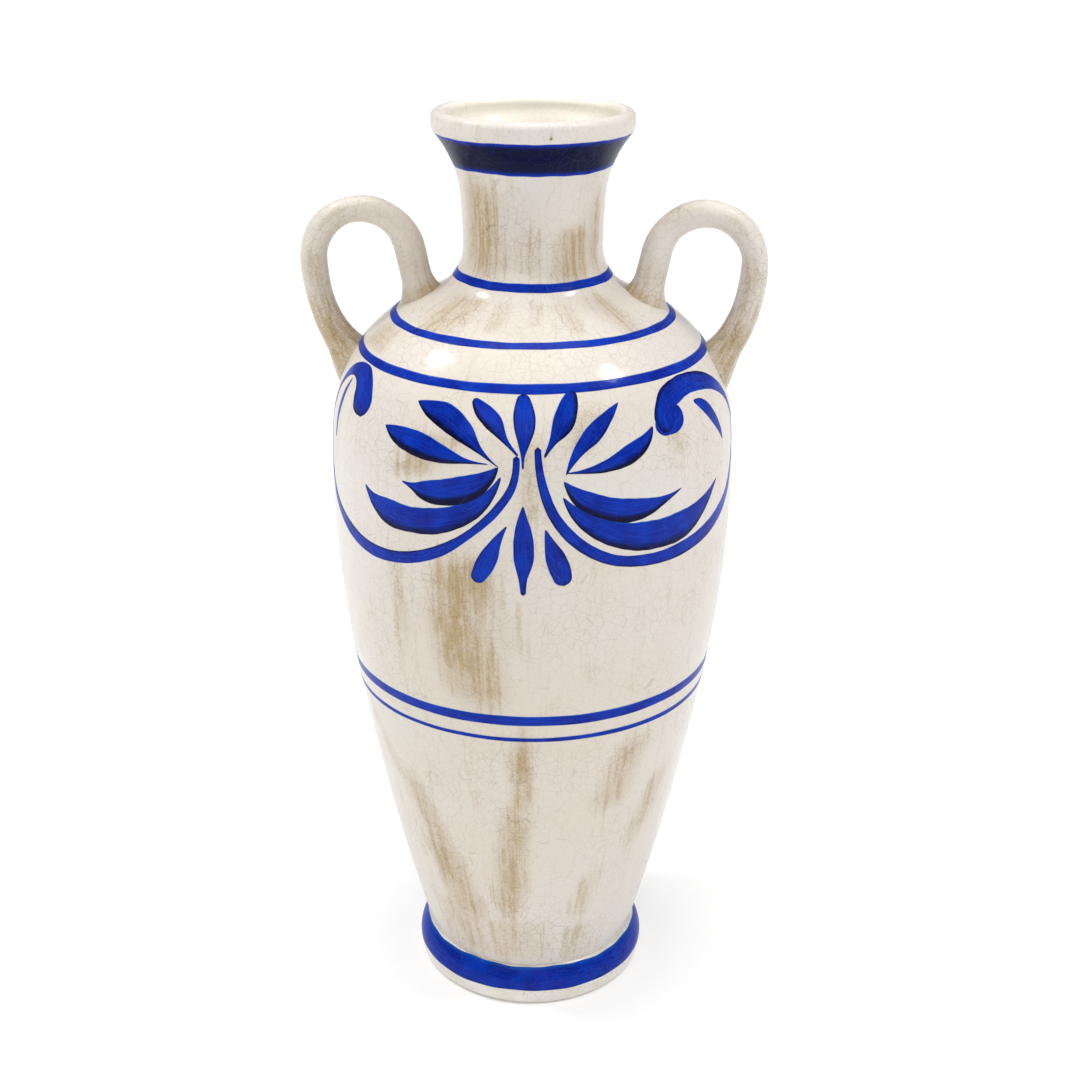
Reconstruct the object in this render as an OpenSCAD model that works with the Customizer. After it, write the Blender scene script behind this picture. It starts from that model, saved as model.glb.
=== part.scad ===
// Two-handled talavera vase: a tall ovoid jar on a low foot, with a flared collar, a rolled lip,
// two loop handles on the shoulder, and plain bands of fired-on cobalt.
// Millimetres, +Z up. The origin is the centre of the face that the foot rests on.
// The handles lie on the X axis.

/* [Overall] */
// Height from the foot to the top of the lip
height = 360; // [355:1:364]
// Thickness of the clay wall
wall = 5.5; // [4:0.5:7]

/* [Foot] */
// Height of the foot ring
foot_h = 17; // [15:0.5:20]
// Largest radius of the foot ring
foot_r = 48; // [47:0.5:52]
// Radius of the recess under the foot
recess_r = 36; // [30:1:37]
// Depth of the recess under the foot
recess_h = 6; // [4:0.5:8]

/* [Body] */
// Largest radius of the belly
belly_r = 78.2; // [77:0.1:79]
// Height of the belly's widest point
belly_z = 218; // [215:1:218]
// Thickness of the floor inside the belly
floor_h = 7; // [5:0.5:9]

/* [Neck] */
// Narrowest outer radius of the neck
neck_r = 26.2; // [25.5:0.1:27]
// Height of the neck's narrowest point
neck_z = 310.4; // [310:0.1:312]
// Height of the lip above the collar
lip_h = 7.4; // [6.5:0.1:8]
// Thickness of the lip from mouth to rim
lip_w = 5.8; // [5:0.1:6.5]

/* [Handles] */
// Radius of the handle's round section
handle_r = 5.3; // [4.5:0.1:6]
// Distance of the handle's loop from the vase's axis
loop_x = 64.8; // [64:0.1:66]
// Height of the middle of the handle's loop
loop_z = 303.6; // [302.5:0.1:305]
// Radius of the loop, to the middle of the section
loop_r = 18.6; // [18:0.1:20]
// Width of the clay pressed round each handle end
root_w = 3; // [2:0.5:3]

/* [Bands] */
// Thickness of the fired-on cobalt
glaze_t = 0.25; // [0.2:0.05:0.4]
// Height of the collar band
collar_band_h = 12.4; // [10:0.2:14]
// Height of the band at the base of the neck
neck_band_h = 2.9; // [2:0.1:4]
// Height of the bare strip under the foot's band
bare_h = 6.9; // [5:0.1:8]

/* [Hidden] */
$fn = 96;
round_fn = 240;      // facets of the body, round the axis
handle_fn = 24;      // facets of a handle, round its section
reach = 120;         // wider than the vase is from its axis

ivory = [0.93, 0.90, 0.83];
bare_clay = [0.95, 0.94, 0.91];
cobalt = [0.05, 0.13, 0.62];
navy = [0.03, 0.06, 0.36];

// The outline of the vase, from foot to collar, is a chain of arcs that run smoothly into each other.
// Each arc has a radius, and an angle where it ends, measured up from level.
waist_arc = 1100;    // the almost straight lower flank
waist_end = -8.6;
belly_arc = 425;     // from the flank up to the widest point
upper_arc = 335;     // from the widest point up
upper_end = 4.3;
shoulder_arc = 55;   // the rounded shoulder
throat_arc = 19.5;   // the hollow curve where the shoulder turns up into the neck
neck_arc = 215;      // the almost straight neck
neck_end = 5;
collar_arc = 41;     // the flare under the lip

belly_c = [belly_r - belly_arc, belly_z];
waist_c = belly_c + (belly_arc - waist_arc) * [cos(waist_end), sin(waist_end)];
upper_c = [belly_r - upper_arc, belly_z];
shoulder_c = upper_c + (upper_arc - shoulder_arc) * [cos(upper_end), sin(upper_end)];
throat_c = [neck_r + throat_arc, neck_z];
neck_c = [neck_r + neck_arc, neck_z];
collar_c = neck_c + (collar_arc - neck_arc) * [cos(neck_end), -sin(neck_end)];

// A straight slope joins the rounded shoulder to the hollow throat, square to this direction.
across = throat_c - shoulder_c;
slope_a = atan2(across[1], across[0]) - acos((shoulder_arc + throat_arc) / norm(across));
slope_n = [cos(slope_a), sin(slope_a)];

collar_z = height - lip_h;   // the seam between collar and lip
collar_r = collar_c[0] - sqrt(pow(collar_arc, 2) - pow(collar_z - collar_c[1], 2));
collar_in_r = collar_c[0] - sqrt(pow(collar_arc + wall, 2) - pow(collar_z - collar_c[1], 2));
lip_proud = 0.6;             // how far the lip stands out past the collar
rim_r = collar_r + lip_proud;
mouth_r = rim_r - lip_w;
throat_z = 298;              // the seam between shoulder and neck

// The lower end of the shoulder's straight slope.
function slope_low(d) = shoulder_c + (shoulder_arc - d) * slope_n;

// Points along an arc, after its first one. A negative radius makes the arc hollow.
function arc(centre, r, a0, a1, steps) = [
    for (i = [1:steps])
        let (a = a0 + (a1 - a0) * i / steps)
            centre + r * [cos(a), sin(a)]
];

// The outer outline of the vase up to the lip, or the same outline a distance d inside it.
function outline_points(d) =
    let (
        start = asin((recess_h - waist_c[1]) / (waist_arc - d)),
        end = -asin((collar_z - collar_c[1]) / (collar_arc + d))
    )
    concat(
        [waist_c + (waist_arc - d) * [cos(start), sin(start)]],
        arc(waist_c, waist_arc - d, start, waist_end, 10),
        arc(belly_c, belly_arc - d, waist_end, 0, 8),
        arc(upper_c, upper_arc - d, 0, upper_end, 4),
        arc(shoulder_c, shoulder_arc - d, upper_end, slope_a, 18),
        [throat_c - (throat_arc + d) * slope_n],
        arc(throat_c, -throat_arc - d, slope_a, 0, 12),
        arc(neck_c, -neck_arc - d, 0, -neck_end, 3),
        arc(collar_c, -collar_arc - d, -neck_end, end, 8)
    );

// Half of the vase's section up to the lip, a distance d inside its outer surface.
module outline(d) {
    polygon(concat([[0, recess_h]], outline_points(d), [[0, collar_z]]));
}

// The part of the wall between two heights. The outer face lies a distance out outside the clay's surface.
module wall_section(out, inside, z0, z1) {
    intersection() {
        difference() {
            outline(-out);
            outline(inside);
        }
        translate([0, z0]) square([reach, z1 - z0]);
    }
}

module spin() {
    rotate_extrude($fn = round_fn) children();
}

// Everything inside the vase's outer surface, which trims the handles and their roots.
module clay_body() {
    spin() outline(0);
}

// A thin band of cobalt on the body's surface between two heights.
module band(edges) {
    spin() wall_section(glaze_t, 0, edges[0], edges[1]);
}

// Foot. Its outer face is one arc through the rounded bottom edge, the widest point and the top.
foot_bulge = 14.8;   // radius of that arc
foot_wide_z = 7.1;   // height of its widest point
foot_c = [foot_r - foot_bulge, foot_wide_z];

module foot_section(out) {
    intersection() {
        translate(foot_c) circle(foot_bulge + out, $fn = round_fn);
        translate([recess_r, 0]) square([reach, foot_h]);
    }
}

module foot_ring() {
    color(bare_clay) spin() difference() {
        foot_section(0);
        outline(0);
    }
}

module foot_band() {
    color(cobalt) spin() intersection() {
        difference() {
            foot_section(glaze_t);
            foot_section(0);
        }
        translate([foot_c[0], bare_h]) square([reach, foot_h - bare_h]);
    }
}

// Body, in the two halves that a potter throws and joins at the belly's widest point.
module lower_body() {
    color(ivory) spin() difference() {
        intersection() {
            outline(0);
            translate([0, recess_h]) square([reach, belly_z - recess_h]);
        }
        intersection() {
            outline(wall);
            translate([0, recess_h + floor_h]) square([reach, belly_z]);
        }
    }
}

module shoulder() {
    color(ivory) spin() wall_section(0, wall, belly_z, throat_z);
}

module neck() {
    color(ivory) spin() wall_section(0, wall, throat_z, collar_z);
}

// The rolled lip stands a little proud of the collar.
module lip() {
    roll_r = lip_w / 2;
    roll_z = height - roll_r;
    chin = 1.6;      // height over which the lip swells out from the collar
    color(ivory) spin() {
        translate([mouth_r + roll_r, roll_z]) circle(roll_r, $fn = round_fn);
        translate([mouth_r, collar_z + chin]) square([lip_w, roll_z - collar_z - chin]);
        polygon([
            [collar_in_r, collar_z],
            [collar_r, collar_z],
            [rim_r, collar_z + chin],
            [mouth_r, collar_z + chin]
        ]);
    }
}

// Handles. Each is one bent coil: a straight inner leg, a round loop, a gently bent outer leg,
// and a straight end.
inner_lean = 12;     // how far the inner leg leans towards the neck, from upright
outer_arc = 62;      // radius of the outer leg's bend
outer_bend = 30;     // how far the outer leg bends in
inner_leg = 22;      // length of the inner leg, of which the end is trimmed off by the body
outer_end = 18;      // length of the outer leg's straight end, trimmed likewise

inner_top = [loop_x - loop_r * cos(inner_lean), loop_z + loop_r * sin(inner_lean)];
outer_c = [loop_x + loop_r - outer_arc, loop_z];
outer_low = outer_c + outer_arc * [cos(outer_bend), -sin(outer_bend)];

// Places its children at a point of the XZ plane, with their +Z leaning the given angle from straight down
// towards -X.
module down_from(point, lean) {
    translate([point[0], 0, point[1]]) rotate([0, 180 + lean, 0]) children();
}

loop_step = 8;       // degrees between two stations round the loop
outer_steps = 4;     // stations along the outer leg's bend

// Stations along the coil's middle, from its inner end to its outer end: a point, and the angle of the
// direction that points out of the bend there.
function leg_way(a) = [sin(a), -cos(a)];
inner_a = 180 - inner_lean;
stations = concat(
    [[inner_top - inner_leg * leg_way(inner_a), inner_a]],
    [for (a = [inner_a:-loop_step:0]) [[loop_x, loop_z] + loop_r * [cos(a), sin(a)], a]],
    [
        for (i = [1:outer_steps])
            let (a = -outer_bend * i / outer_steps)
                [outer_c + outer_arc * [cos(a), sin(a)], a]
    ],
    [[outer_low + outer_end * leg_way(-outer_bend), -outer_bend]]
);

// One ring of points round the coil's section.
function station_ring(p, a) = [
    for (i = [0:handle_fn - 1])
        let (t = 360 * i / handle_fn, out = handle_r * cos(t))
            [p[0] + out * cos(a), handle_r * sin(t), p[1] + out * sin(a)]
];

module handle_rod() {
    last = len(stations) - 1;
    points = [for (s = stations) each station_ring(s[0], s[1])];
    sides = [
        for (k = [0:last - 1], i = [0:handle_fn - 1])
            let (j = (i + 1) % handle_fn, low = k * handle_fn, high = low + handle_fn)
                [low + j, high + j, high + i, low + i]
    ];
    ends = [
        [for (i = [handle_fn - 1:-1:0]) i],
        [for (i = [0:handle_fn - 1]) last * handle_fn + i]
    ];
    polyhedron(points, concat(sides, ends), convexity = 4);
}

module handle() {
    color(ivory) difference() {
        handle_rod();
        clay_body();
    }
}

// The soft clay pressed round a handle end: a trumpet that stands on the body's surface, square to it.
// It is drawn round the surface's own direction at the root, which points an angle a up from level.
root_h = 8;          // height of the trumpet above the surface
root_in = 2.4;       // how far its top hides inside the handle
root_edge = 0.7;     // thickness of its rim
inner_root_up = 3.2; // distance of the inner root up the shoulder's straight slope
outer_root_a = 27;   // where on the shoulder's arc the outer root stands
leg_lead = 1;        // how far above a leg's top its hole through the root starts

module trumpet(point, a) {
    top_r = handle_r - root_in;
    base_r = handle_r + root_w;
    flare = base_r - top_r;
    sweep = (pow(root_h, 2) + pow(flare, 2)) / (2 * flare);   // radius of its hollow side
    translate([point[0], 0, point[1]]) rotate([0, 90 - a, 0]) rotate_extrude() {
        difference() {
            translate([0, -root_h]) square([base_r, 2 * root_h + root_edge]);
            translate([top_r + sweep, root_h + root_edge]) circle(sweep, $fn = round_fn);
        }
    }
}

module root(point, a, leg_top, lean) {
    color(ivory) difference() {
        trumpet(point, a);
        down_from(leg_top, lean) translate([0, 0, -leg_lead]) cylinder(h = 2 * inner_leg, r = handle_r);
        clay_body();
    }
}

module inner_root() {
    point = slope_low(0) + inner_root_up * [-slope_n[1], slope_n[0]];
    root(point, slope_a, inner_top, inner_lean);
}

module outer_root() {
    point = shoulder_c + shoulder_arc * [cos(outer_root_a), sin(outer_root_a)];
    root(point, outer_root_a, outer_low, outer_bend);
}

module mirrored() {
    mirror([1, 0, 0]) children();
}

module left_handle() { mirrored() handle(); }
module right_handle() { handle(); }
module left_inner_root() { mirrored() inner_root(); }
module left_outer_root() { mirrored() outer_root(); }
module right_inner_root() { inner_root(); }
module right_outer_root() { outer_root(); }

// Bands on the body, each from the height of its lower edge to that of its upper edge.
lower_belly_edges = [136.5, 138.4];
upper_belly_edges = [143.9, 148.1];
lower_shoulder_edges = [271.5, 274.4];
upper_shoulder_edges = [283.8, 285.6];
neck_band_z = throat_z + 0.5;    // just above the seam

module lower_belly_band() { color(cobalt) band(lower_belly_edges); }
module upper_belly_band() { color(cobalt) band(upper_belly_edges); }
module lower_shoulder_band() { color(cobalt) band(lower_shoulder_edges); }
module upper_shoulder_band() { color(cobalt) band(upper_shoulder_edges); }
module neck_band() { color(cobalt) band([neck_band_z, neck_band_z + neck_band_h]); }
module collar_band() { color(navy) band([collar_z - collar_band_h, collar_z]); }

foot_ring();
lower_body();
shoulder();
neck();
lip();
left_handle();
right_handle();
left_inner_root();
left_outer_root();
right_inner_root();
right_outer_root();
foot_band();
lower_belly_band();
upper_belly_band();
lower_shoulder_band();
upper_shoulder_band();
neck_band();
collar_band();
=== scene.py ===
"""Looks of the two-handled talavera vase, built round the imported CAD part.

The frame is in metres, +Z up, with the handles on the X axis and the painted front facing -Y.
Places on the vase are given as a bearing in degrees, from the front towards +X, and a height in millimetres.
"""

import math

import bmesh
import bpy
import numpy as np
from mathutils import Matrix, Vector


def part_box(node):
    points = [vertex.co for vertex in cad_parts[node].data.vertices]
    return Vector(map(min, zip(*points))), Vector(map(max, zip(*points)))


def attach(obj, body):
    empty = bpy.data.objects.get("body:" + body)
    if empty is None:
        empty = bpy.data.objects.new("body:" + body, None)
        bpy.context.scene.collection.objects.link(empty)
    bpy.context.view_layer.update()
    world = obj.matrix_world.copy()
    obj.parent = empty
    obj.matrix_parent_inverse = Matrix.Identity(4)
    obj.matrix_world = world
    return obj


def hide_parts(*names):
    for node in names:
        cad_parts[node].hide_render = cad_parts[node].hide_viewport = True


MM = 0.001
TURNS = 360          # columns of every lathed piece, round the axis
WALL = 5.5 * MM
SEAM_Z = 218 * MM    # belly seam between the two halves of the body
THROAT_Z = 298 * MM  # where the shoulder ends and the neck begins
COLLAR_Z = 352.6 * MM    # where the collar ends and the lip begins
FLOOR_Z = 13 * MM    # the floor's inner face
RECESS_Z = 6 * MM    # the floor's underside, within the foot ring
RECESS_R = 36 * MM
FOOT_TOP = 17 * MM
BAND_LIFT = 0.10 * MM
PAINT_LIFT = 0.07 * MM
LAYER = 0.02 * MM    # how far a stroke that crosses another lies above it
SUNK = 0.35 * MM     # how far the back of a painted piece lies inside the clay
DRUM_R = 70 * MM     # the drum that the brush marks are laid out on
BELLY_R = 78         # the radius, in mm, at which a stroke's bearings are laid out flat

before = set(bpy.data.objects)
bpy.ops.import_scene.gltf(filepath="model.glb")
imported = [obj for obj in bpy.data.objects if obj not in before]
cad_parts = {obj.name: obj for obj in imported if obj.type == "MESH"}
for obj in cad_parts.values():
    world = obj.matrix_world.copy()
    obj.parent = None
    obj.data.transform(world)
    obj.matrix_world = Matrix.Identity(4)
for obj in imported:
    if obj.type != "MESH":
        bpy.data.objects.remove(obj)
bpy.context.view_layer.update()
scene = bpy.context.scene


# ---------------------------------------------------------------- curves and the vase's surface

def spline(points, steps):
    """A smooth curve through the points, with so many steps between each two."""
    p = np.array(points, float)
    h = np.linalg.norm(np.diff(p, axis=0), axis=1)[:, None] + 1e-12
    d = np.diff(p, axis=0) / h
    inner = (d[:-1] * h[1:] + d[1:] * h[:-1]) / (h[:-1] + h[1:])
    if len(inner):
        m = np.vstack([2 * d[:1] - inner[:1], inner, 2 * d[-1:] - inner[-1:]])
    else:
        m = np.vstack([d, d])
    rows = []
    for i in range(len(h)):
        t = np.linspace(0, 1, steps, endpoint=False)[:, None]
        rows.append(
            (2 * t**3 - 3 * t**2 + 1) * p[i]
            + (t**3 - 2 * t**2 + t) * h[i] * m[i]
            + (3 * t**2 - 2 * t**3) * p[i + 1]
            + (t**3 - t**2) * h[i] * m[i + 1]
        )
    rows.append(p[-1:])
    return np.vstack(rows)


def corners(node, side):
    """(height, radius) of a CAD node's corners on faces that look outwards (side 1) or inwards (-1)."""
    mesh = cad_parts[node].data
    found = {}
    for face in mesh.polygons:
        c = face.center
        out = (face.normal.x * c.x + face.normal.y * c.y) / max(math.hypot(c.x, c.y), 1e-9)
        if out * side > 0.05:
            for i in face.vertices:
                v = mesh.vertices[i].co
                found[round(v.z, 5)] = math.hypot(v.x, v.y)
    return sorted(found.items())


def smooth_outline(nodes, side):
    """One smooth line of (height, radius) through the corners of several CAD nodes."""
    found = {}
    for node in nodes:
        found.update(corners(node, side))
    return spline(sorted(found.items()), 16)


CLAY = ["lower_body", "shoulder", "neck"]
outer_line = smooth_outline(CLAY, 1)
inner_line = smooth_outline(CLAY, -1)
foot_line = smooth_outline(["foot_ring"], 1)


def outer_r(z):
    """Radius of the body's and neck's outside at height z."""
    return np.interp(z, outer_line[:, 0], outer_line[:, 1])


def inner_r(z):
    """Radius of the hollow at height z."""
    return np.interp(z, inner_line[:, 0], inner_line[:, 1])


def foot_r(z):
    """Radius of the foot ring's outside at height z."""
    return np.interp(z, foot_line[:, 0], foot_line[:, 1])


def uneven(phi, z):
    """How far the hand-made surface strays from round: slow swells and faint throwing rings."""
    swell = 0.20 * np.sin(2 * phi + 9 * z + 0.7) + 0.10 * np.sin(3 * phi - 14 * z)
    rings = 0.03 * np.sin(2 * np.pi * z / (8.5 * MM) + 1.3 * np.sin(phi))
    return (swell + rings) * MM


def slope_at(z, step, radius=outer_r):
    """How fast the radius grows with height, measured from a step below z to a step above it."""
    return (radius(z + step) - radius(z - step)) / (2 * step)


def on_surface(phi, z, lift, radius=outer_r):
    """Points on the vase's outside at bearing phi (radians) and height z.

    They are raised by lift, straight out of the surface.
    """
    slope = slope_at(z, 0.2 * MM, radius)
    across = 1 / np.sqrt(1 + slope**2)
    r = radius(z) + uneven(phi, z) + lift * across
    return np.stack([r * np.sin(phi), -r * np.cos(phi), z - lift * slope * across], -1)


def lengths(line):
    """How far along a line each of its points lies."""
    steps = np.linalg.norm(np.diff(line, axis=0), axis=1)
    return np.concatenate([[0], np.cumsum(steps)])


outer_length = lengths(outer_line)


def brushed_place(points):
    """Where the brush went: round a drum, and along the outline instead of straight up."""
    phi = np.arctan2(points[:, 0], -points[:, 1])
    along = np.interp(points[:, 2], outer_line[:, 0], outer_length)
    return np.stack([DRUM_R * np.sin(phi), -DRUM_R * np.cos(phi), along], -1)


def bell(x):
    """1 at 0, falling smoothly to 0 at 1 and beyond."""
    x = np.clip(np.abs(x), 0, 1)
    return (1 - x * x) ** 2


# ---------------------------------------------------------------- mesh helpers

def new_object(name, points, faces):
    """An object in the scene from points and faces, as they come."""
    mesh = bpy.data.meshes.new(name)
    mesh.from_pydata(points.reshape(-1, 3).tolist(), [], faces)
    obj = bpy.data.objects.new(name, mesh)
    scene.collection.objects.link(obj)
    return obj


def clean(obj, sharp):
    """Joins points that coincide, turns the faces right side out and shades them smooth.

    Edges that are sharper than so many degrees stay crisp.
    """
    mesh = obj.data
    bm = bmesh.new()
    bm.from_mesh(mesh)
    bmesh.ops.remove_doubles(bm, verts=bm.verts, dist=1e-7)
    bmesh.ops.recalc_face_normals(bm, faces=bm.faces)
    bm.to_mesh(mesh)
    bm.free()
    mesh.polygons.foreach_set("use_smooth", [True] * len(mesh.polygons))
    mesh.set_sharp_from_angle(angle=math.radians(sharp))


def clay_object(name, points, faces):
    """A clean clay mesh with crisp corners."""
    obj = new_object(name, points, faces)
    clean(obj, 38)
    return obj


def grid_faces(rows, columns, rows_loop, columns_loop):
    """Quads of a grid of rows by columns, which may close on itself either way."""
    i, j = np.meshgrid(
        np.arange(rows if rows_loop else rows - 1),
        np.arange(columns if columns_loop else columns - 1),
        indexing="ij",
    )
    i, j = i.ravel(), j.ravel()
    i2, j2 = (i + 1) % rows, (j + 1) % columns
    quads = np.stack([i * columns + j, i * columns + j2, i2 * columns + j2, i2 * columns + j], -1)
    return quads.tolist()


def lathe(name, outline, loop):
    """Turns an outline of (radius, height) round the axis. Without loop it starts and ends on the axis."""
    line = np.array(outline, float)
    phi = np.linspace(0, 2 * np.pi, TURNS, endpoint=False)[None, :]
    r, z = line[:, :1], line[:, 1:] + 0 * phi
    r = r + uneven(phi, z) * np.clip(r / (20 * MM), 0, 1)
    points = np.stack([r * np.sin(phi), -r * np.cos(phi), z], -1)
    return clay_object(name, points, grid_faces(len(line), TURNS, loop, True))


def point_values(obj, name, values, kind="FLOAT"):
    """Stores a number or a triple for every vertex, for the materials."""
    attribute = obj.data.attributes.new(name, kind, "POINT")
    flat = np.asarray(values, np.float32).ravel()
    attribute.data.foreach_set("value" if kind == "FLOAT" else "vector", flat)


def vertices(obj):
    """The places of an object's vertices, one row each."""
    co = np.zeros(len(obj.data.vertices) * 3)
    obj.data.vertices.foreach_get("co", co)
    return co.reshape(-1, 3)


def finish_piece(obj, material, nodes=()):
    """Gives a piece its material and its body, and hides the CAD nodes that it stands for."""
    obj.data.materials.append(material)
    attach(obj, "root")
    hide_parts(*nodes)
    return obj


# ---------------------------------------------------------------- umber wash, and the painted light inside

# Each brushed streak: bearing and height at its top, the same at its foot, half its width, strength.
STREAKS = [
    (-44, 340, -38, 300, 8, 0.9),
    (-20, 336, -24, 306, 3, 0.35),
    (4, 322, 2, 302, 3.5, 0.45),
    (40, 322, 34, 299, 6.5, 1.0),
    (66, 334, 60, 300, 4, 0.6),
    (-40, 297, -42, 284, 9, 0.75),
    (-14, 296, -15, 287, 3.5, 0.55),
    (6, 296, 5, 289, 2.5, 0.45),
    (22, 296, 24, 286, 3.5, 0.55),
    (48, 297, 50, 283, 5, 0.6),
    (-66, 284, -66, 275, 8, 0.7),
    (-20, 259, -33, 239, 9, 0.75),
    (4, 262, 3, 226, 4.5, 0.6),
    (21, 268, 15, 250, 6, 0.6),
    (46, 256, 50, 246, 5, 0.4),
    (-68, 262, -70, 225, 4, 0.45),
    (-14, 216, -19, 178, 11, 0.9),
    (-19, 200, -11, 148, 11, 1.0),
    (-37, 212, -34, 170, 5, 0.5),
    (-8, 205, -3, 172, 6, 0.45),
    (-62, 135, -48, 100, 4, 0.5),
    (-44, 112, -32, 72, 6, 0.8),
    (-36, 84, -24, 36, 8, 0.9),
    (1, 142, 0, 96, 4, 0.75),
    (-1, 108, -7, 40, 6, 0.85),
    (40, 134, 30, 98, 8, 0.75),
    (56, 112, 46, 76, 6, 0.6),
    (30, 70, 24, 40, 5, 0.5),
    (-30, 52, -28, 17, 14, 0.6),
    (-6, 46, -4, 17, 16, 0.6),
    (26, 40, 26, 17, 10, 0.45),
    (118, 338, 124, 302, 7, 0.85),
    (176, 330, 172, 300, 5, 0.6),
    (214, 336, 210, 301, 6, 0.8),
    (150, 296, 152, 283, 7, 0.6),
    (196, 268, 190, 240, 8, 0.7),
    (158, 214, 166, 158, 10, 0.95),
    (204, 196, 198, 150, 7, 0.7),
    (132, 134, 140, 70, 7, 0.8),
    (182, 120, 178, 44, 7, 0.85),
    (226, 132, 216, 84, 7, 0.7),
    (100, 210, 104, 160, 6, 0.5),
    (262, 190, 256, 130, 7, 0.6),
    (170, 48, 172, 17, 20, 0.5),
]

# Small worn spots on the lip: bearing, height, half their size, strength.
CHIPS = [
    (13, 354.6, 1.3, 1.0),
    (18, 356.2, 0.7, 0.8),
    (64, 356, 1.0, 0.8),
    (-72, 357, 1.1, 0.8),
    (150, 355, 1.2, 0.9),
    (205, 358, 0.9, 0.7),
]


def outside_wash(phi, z):
    """How much umber lies on the outside, from 0 to 1, before the bristle marks break it up."""
    total = np.full(phi.shape, 0.05)
    for top_phi, top_z, low_phi, low_z, half, strength in STREAKS:
        along = (top_z * MM - z) / ((top_z - low_z) * MM)
        middle = np.radians(top_phi + (low_phi - top_phi) * np.clip(along, 0, 1))
        turn = (phi - middle + np.pi) % (2 * np.pi) - np.pi
        across = turn * outer_r(z) / (half * MM)
        ends = np.clip(np.minimum(along, 1 - along) * 3.2 + 0.35, 0, 1)
        total = np.maximum(total, strength * ends * bell(across * 0.5))
    return total


def wash_and_inside_light_of(points):
    """The umber on lathed clay: streaks and worn spots outside. Inside it is below 0, mottled, which paints
    the shaded hollow a lighter cream as painted light.
    """
    phi = np.arctan2(points[:, 0], -points[:, 1])
    r, z = np.hypot(points[:, 0], points[:, 1]), points[:, 2]
    inside = r < outer_r(np.clip(z, RECESS_Z, COLLAR_Z)) - 0.5 * WALL
    # Inside: mottled values below 0, which paint the shaded hollow a lighter cream, as painted light.
    inside_painted_light = 0.26 * np.sin(3 * phi + 60 * z) * np.sin(140 * z - 2 * phi) - 0.30
    total = np.where(inside, inside_painted_light, outside_wash(phi, z))
    for chip_phi, chip_z, half, strength in CHIPS:
        turn = (phi - math.radians(chip_phi) + np.pi) % (2 * np.pi) - np.pi
        away = np.hypot(turn * r, z - chip_z * MM) / (half * MM)
        total = np.where(inside, total, np.maximum(total, 1.5 * strength * bell(away)))
    return total


def wash_and_inside_light_values(obj):
    """Gives a lathed piece what the ivory glaze reads: its umber and the painted light inside it, and its
    place along the brush's way.
    """
    points = vertices(obj)
    point_values(obj, "wash_and_inside_light", wash_and_inside_light_of(points))
    point_values(obj, "brushed", brushed_place(points), "FLOAT_VECTOR")


# ---------------------------------------------------------------- clay pieces

def heights(z0, z1, step):
    """Heights from z0 to z1, about a step apart."""
    return np.linspace(z0, z1, max(2, int(round((z1 - z0) / step)) + 1))


def wall_outline(z0, z1, step):
    """A closed outline of the wall between two heights: up the outside, down the inside."""
    z = heights(z0, z1, step)
    inside = z[::-1]
    return [*zip(outer_r(z), z), *zip(inner_r(inside), inside)]


def lower_body(material):
    """The floor and the wall up to the belly seam, with a rounded corner between them inside."""
    rounding = 3 * MM
    z = heights(RECESS_Z, SEAM_Z, 1.6 * MM)
    inside = heights(FLOOR_Z + rounding, SEAM_Z, 3 * MM)[::-1]
    corner = inner_r(FLOOR_Z)
    turn_in = [
        (corner + 0.4 * MM - rounding * (1 - math.cos(a)), FLOOR_Z + rounding * (1 - math.sin(a)))
        for a in np.linspace(0.3, math.pi / 2, 6)
    ]
    outline = [(0, RECESS_Z)]
    outline += [(outer_r(RECESS_Z) * k, RECESS_Z) for k in (0.3, 0.6, 0.9)]
    outline += [*zip(outer_r(z), z)]
    outline += [*zip(inner_r(inside), inside)]
    outline += turn_in
    outline += [(corner * k, FLOOR_Z) for k in (0.6, 0.3)]
    outline += [(0, FLOOR_Z)]
    obj = lathe("body_lower", outline, False)
    wash_and_inside_light_values(obj)
    return finish_piece(obj, material, ["lower_body"])


def wall_piece(name, z0, z1, step, material, node):
    """A section of the hollow wall between two heights."""
    obj = lathe(name, wall_outline(z0, z1, step), True)
    wash_and_inside_light_values(obj)
    return finish_piece(obj, material, [node])


def lip(material):
    """The rolled lip: a soft round bead with a small chin under it, where it swells out from the collar."""
    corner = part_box("lip")[1]
    rim = corner.x
    top = corner.z
    half = 2.9 * MM
    mid = rim - half
    roll_z = top - half
    bead = [(mid + half * math.cos(a), roll_z + half * math.sin(a)) for a in np.linspace(0, math.pi, 26)]
    outside = [
        (outer_r(COLLAR_Z), COLLAR_Z),
        (outer_r(COLLAR_Z) + 0.28 * MM, COLLAR_Z + 0.5 * MM),
        (rim - 0.12 * MM, COLLAR_Z + 1.4 * MM),
        (rim, COLLAR_Z + 2.6 * MM),
    ]
    inside = [
        (mid - half - 0.2 * MM, roll_z - 1.6 * MM),
        (mid - half - 0.9 * MM, COLLAR_Z + 1.4 * MM),
        (inner_r(COLLAR_Z), COLLAR_Z),
    ]
    outline = [*spline(outside, 3), *bead, *spline(inside, 3)]
    obj = lathe("lip_rolled", outline, True)
    wash_and_inside_light_values(obj)
    return finish_piece(obj, material, ["lip"])


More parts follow.
